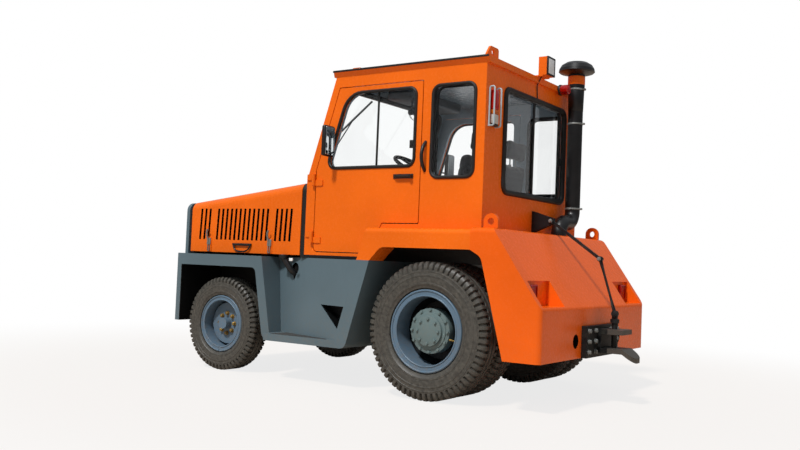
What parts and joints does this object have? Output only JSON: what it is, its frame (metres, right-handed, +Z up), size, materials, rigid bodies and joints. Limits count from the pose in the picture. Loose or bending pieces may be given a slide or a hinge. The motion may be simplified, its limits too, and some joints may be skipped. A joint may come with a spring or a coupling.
{
  "type": "airport tow tractor",
  "caption": "Airport tow tractor with an enclosed cab over twin rear wheels, louvred butterfly hood, steered front wheels, rear counterweight and a lever-lifted pin hitch.",
  "frame": {"origin": "centre of the bounding box on the ground", "axes": "+X towards the front, +Y to the left, +Z up"},
  "size_m": [3.8, 2, 2.66],
  "materials": {
    "orange_paint": "gloss enamel",
    "grey_paint": "satin enamel",
    "rim_paint": "satin enamel",
    "tyre": "dusty",
    "glass": "clear",
    "black_paint": "satin enamel",
    "cast_iron": "rough",
    "steel": "worn",
    "black_plastic": "matte",
    "rubber": "matte",
    "seat_cloth": "woven",
    "red_lens": "ribbed lens"
  },
  "bodies": {
    "chassis": {"chassis_frame": "black_paint", "engine_block": "cast_iron", "front_axle": "black_paint", "rear_axle": "black_paint", "front_plate": "grey_paint", "grille_panel": "grey_paint", "headlamps": "glass", "front_fenders": "grey_paint", "side_panels": "grey_paint", "rear_fenders": "orange_paint", "counterweight": "orange_paint", "rear_lamps": "red_lens", "hitch_jaw": "black_paint", "cab_floor": "grey_paint", "cab_sides": "orange_paint", "cab_rear": "orange_paint", "cab_front": "orange_paint", "cab_roof": "orange_paint", "cab_glass": "glass", "seat": "seat_cloth", "passenger_seat": "seat_cloth", "dashboard": "black_plastic", "steering_wheel": "black_plastic", "hood_spine": "black_paint", "hood_seals": "rubber", "grab_handles": "black_plastic", "intake_hose": "rubber", "intake_cap": "black_plastic", "roof_lamps": "orange_paint", "lever_bracket": "black_paint"},
    "hood_left": {"hood_left": "orange_paint", "hood_fittings_left": "black_plastic"},
    "hood_right": {"hood_right": "orange_paint", "hood_fittings_right": "black_plastic"},
    "door_left": {"door_left": "orange_paint", "door_glass_left": "glass", "door_fittings_left": "black_plastic"},
    "door_right": {"door_right": "orange_paint", "door_glass_right": "glass", "door_fittings_right": "black_plastic"},
    "knuckle_left": {"knuckle_left": "black_paint"},
    "knuckle_right": {"knuckle_right": "black_paint"},
    "tie_rod": {"tie_rod": "steel"},
    "front_wheel_left": {"front_rim_left": "rim_paint", "front_tyre_left": "tyre"},
    "front_wheel_right": {"front_rim_right": "rim_paint", "front_tyre_right": "tyre"},
    "rear_wheel_left": {"rear_rims_left": "rim_paint", "rear_tyres_left": "tyre"},
    "rear_wheel_right": {"rear_rims_right": "rim_paint", "rear_tyres_right": "tyre"},
    "pin_lever": {"pin_lever": "black_paint"},
    "pin_rod": {"pin_rod": "black_paint"},
    "hitch_pin": {"hitch_pin": "steel"}
  },
  "joints": [
    {"name": "steer_left", "type": "hinge", "parent": "chassis", "child": "knuckle_left", "pos_m": [1.38, 0.6, 0.388], "axis": [0, 0, 1], "range_deg": [-30, 30]},
    {"name": "steer_right", "type": "hinge", "parent": "chassis", "child": "knuckle_right", "pos_m": [1.38, -0.6, 0.388], "axis": [0, 0, 1], "range_deg": [-30, 30]},
    {"name": "tie_rod_swing", "type": "hinge", "parent": "knuckle_left", "child": "tie_rod", "pos_m": [1.21, 0.6, 0.274], "axis": [0, 0, 1], "range_deg": [-30, 30]},
    {"name": "front_spin_left", "type": "hinge", "parent": "knuckle_left", "child": "front_wheel_left", "pos_m": [1.38, 0.78, 0.388], "axis": [0, 1, 0], "continuous": true},
    {"name": "front_spin_right", "type": "hinge", "parent": "knuckle_right", "child": "front_wheel_right", "pos_m": [1.38, -0.78, 0.388], "axis": [0, 1, 0], "continuous": true},
    {"name": "rear_spin_left", "type": "hinge", "parent": "chassis", "child": "rear_wheel_left", "pos_m": [-0.71, 0.868, 0.487], "axis": [0, 1, 0], "continuous": true},
    {"name": "rear_spin_right", "type": "hinge", "parent": "chassis", "child": "rear_wheel_right", "pos_m": [-0.71, -0.868, 0.487], "axis": [0, 1, 0], "continuous": true},
    {"name": "door_left_swing", "type": "hinge", "parent": "chassis", "child": "door_left", "pos_m": [0.466, 0.835, 1.3], "axis": [0, 0, -1], "range_deg": [0, 75]},
    {"name": "door_right_swing", "type": "hinge", "parent": "chassis", "child": "door_right", "pos_m": [0.466, -0.835, 1.3], "axis": [0, 0, 1], "range_deg": [0, 75]},
    {"name": "hood_left_lift", "type": "hinge", "parent": "chassis", "child": "hood_left", "pos_m": [0.58966, 0.0455, 1.55308], "axis": [0.9925, 0, -0.1223], "range_deg": [0, 68]},
    {"name": "hood_right_lift", "type": "hinge", "parent": "chassis", "child": "hood_right", "pos_m": [0.58966, -0.0455, 1.55308], "axis": [-0.9925, 0, 0.1223], "range_deg": [0, 68]},
    {"name": "lever_lift", "type": "hinge", "parent": "chassis", "child": "pin_lever", "pos_m": [-1.2, 0, 1.32], "axis": [0, 1, 0], "range_deg": [0, 16]},
    {"name": "rod_swing", "type": "hinge", "parent": "pin_lever", "child": "pin_rod", "pos_m": [-1.595, 0, 1.044], "axis": [0, 1, 0], "range_deg": [-25.18, 0]},
    {"name": "pin_slide", "type": "slide", "parent": "chassis", "child": "hitch_pin", "axis": [0, 0, 1], "range_m": [0, 0.1072]}
  ],
  "couplings": [
    {"joint": "steer_right", "follows": "steer_left", "ratio": 1},
    {"joint": "tie_rod_swing", "follows": "steer_left", "ratio": -1},
    {"joint": "rod_swing", "follows": "lever_lift", "ratio": -1.5428},
    {"joint": "pin_slide", "follows": "lever_lift", "m_per_rad": 0.37672}
  ]
}
